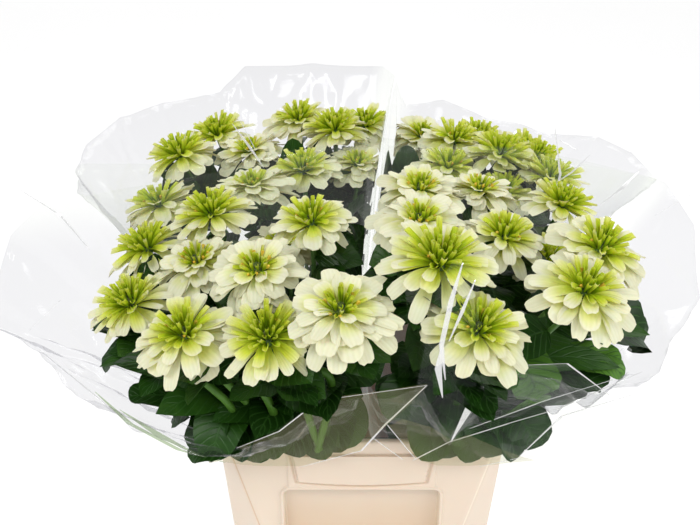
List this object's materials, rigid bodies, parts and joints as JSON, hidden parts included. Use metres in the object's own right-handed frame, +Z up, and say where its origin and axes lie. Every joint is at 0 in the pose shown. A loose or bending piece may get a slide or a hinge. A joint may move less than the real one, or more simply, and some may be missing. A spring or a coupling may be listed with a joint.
{
  "type": "bucket of cut zinnias",
  "caption": "Tapered plastic flower bucket with four clear film sleeves of cut lime and cream zinnias, tied stems and leaves standing in water.",
  "frame": {"origin": "centre of the bucket's flat base", "axes": "+Z up, the bucket's front with its grip lip faces -Y, +X to the right seen from the front"},
  "size_m": [0.754, 0.6486, 0.6203],
  "materials": {
    "bucket_plastic": "satin moulded",
    "water": "clear liquid",
    "clear_film": "glossy clear film",
    "foliage": "soft matte leaf",
    "rubber_band": "matte rubber",
    "petals": "soft matte petal"
  },
  "bodies": {
    "root": {"bucket": "bucket_plastic", "water": "water", "foliage_front_left": "foliage", "band_front_left": "rubber_band", "sleeve_front_left": "clear_film", "foliage_back_left": "foliage", "band_back_left": "rubber_band", "sleeve_back_left": "clear_film", "foliage_front_right": "foliage", "band_front_right": "rubber_band", "sleeve_front_right": "clear_film", "foliage_back_right": "foliage", "band_back_right": "rubber_band", "sleeve_back_right": "clear_film", "bloom_front_left_01": "petals", "bloom_front_left_02": "petals", "bloom_front_left_03": "petals", "bloom_front_left_04": "petals", "bloom_front_left_05": "petals", "bloom_front_left_06": "petals", "bloom_front_left_07": "petals", "bloom_front_left_08": "petals", "bloom_front_left_09": "petals", "bloom_front_left_10": "petals", "bloom_back_left_01": "petals", "bloom_back_left_02": "petals", "bloom_back_left_03": "petals", "bloom_back_left_04": "petals", "bloom_back_left_05": "petals", "bloom_back_left_06": "petals", "bloom_back_left_07": "petals", "bloom_back_left_08": "petals", "bloom_back_left_09": "petals", "bloom_back_left_10": "petals", "bloom_front_right_01": "petals", "bloom_front_right_02": "petals", "bloom_front_right_03": "petals", "bloom_front_right_04": "petals", "bloom_front_right_05": "petals", "bloom_front_right_06": "petals", "bloom_front_right_07": "petals", "bloom_front_right_08": "petals", "bloom_front_right_09": "petals", "bloom_front_right_10": "petals", "bloom_back_right_01": "petals", "bloom_back_right_02": "petals", "bloom_back_right_03": "petals", "bloom_back_right_04": "petals", "bloom_back_right_05": "petals", "bloom_back_right_06": "petals", "bloom_back_right_07": "petals", "bloom_back_right_08": "petals", "bloom_back_right_09": "petals", "bloom_back_right_10": "petals"}
  },
  "joints": []
}
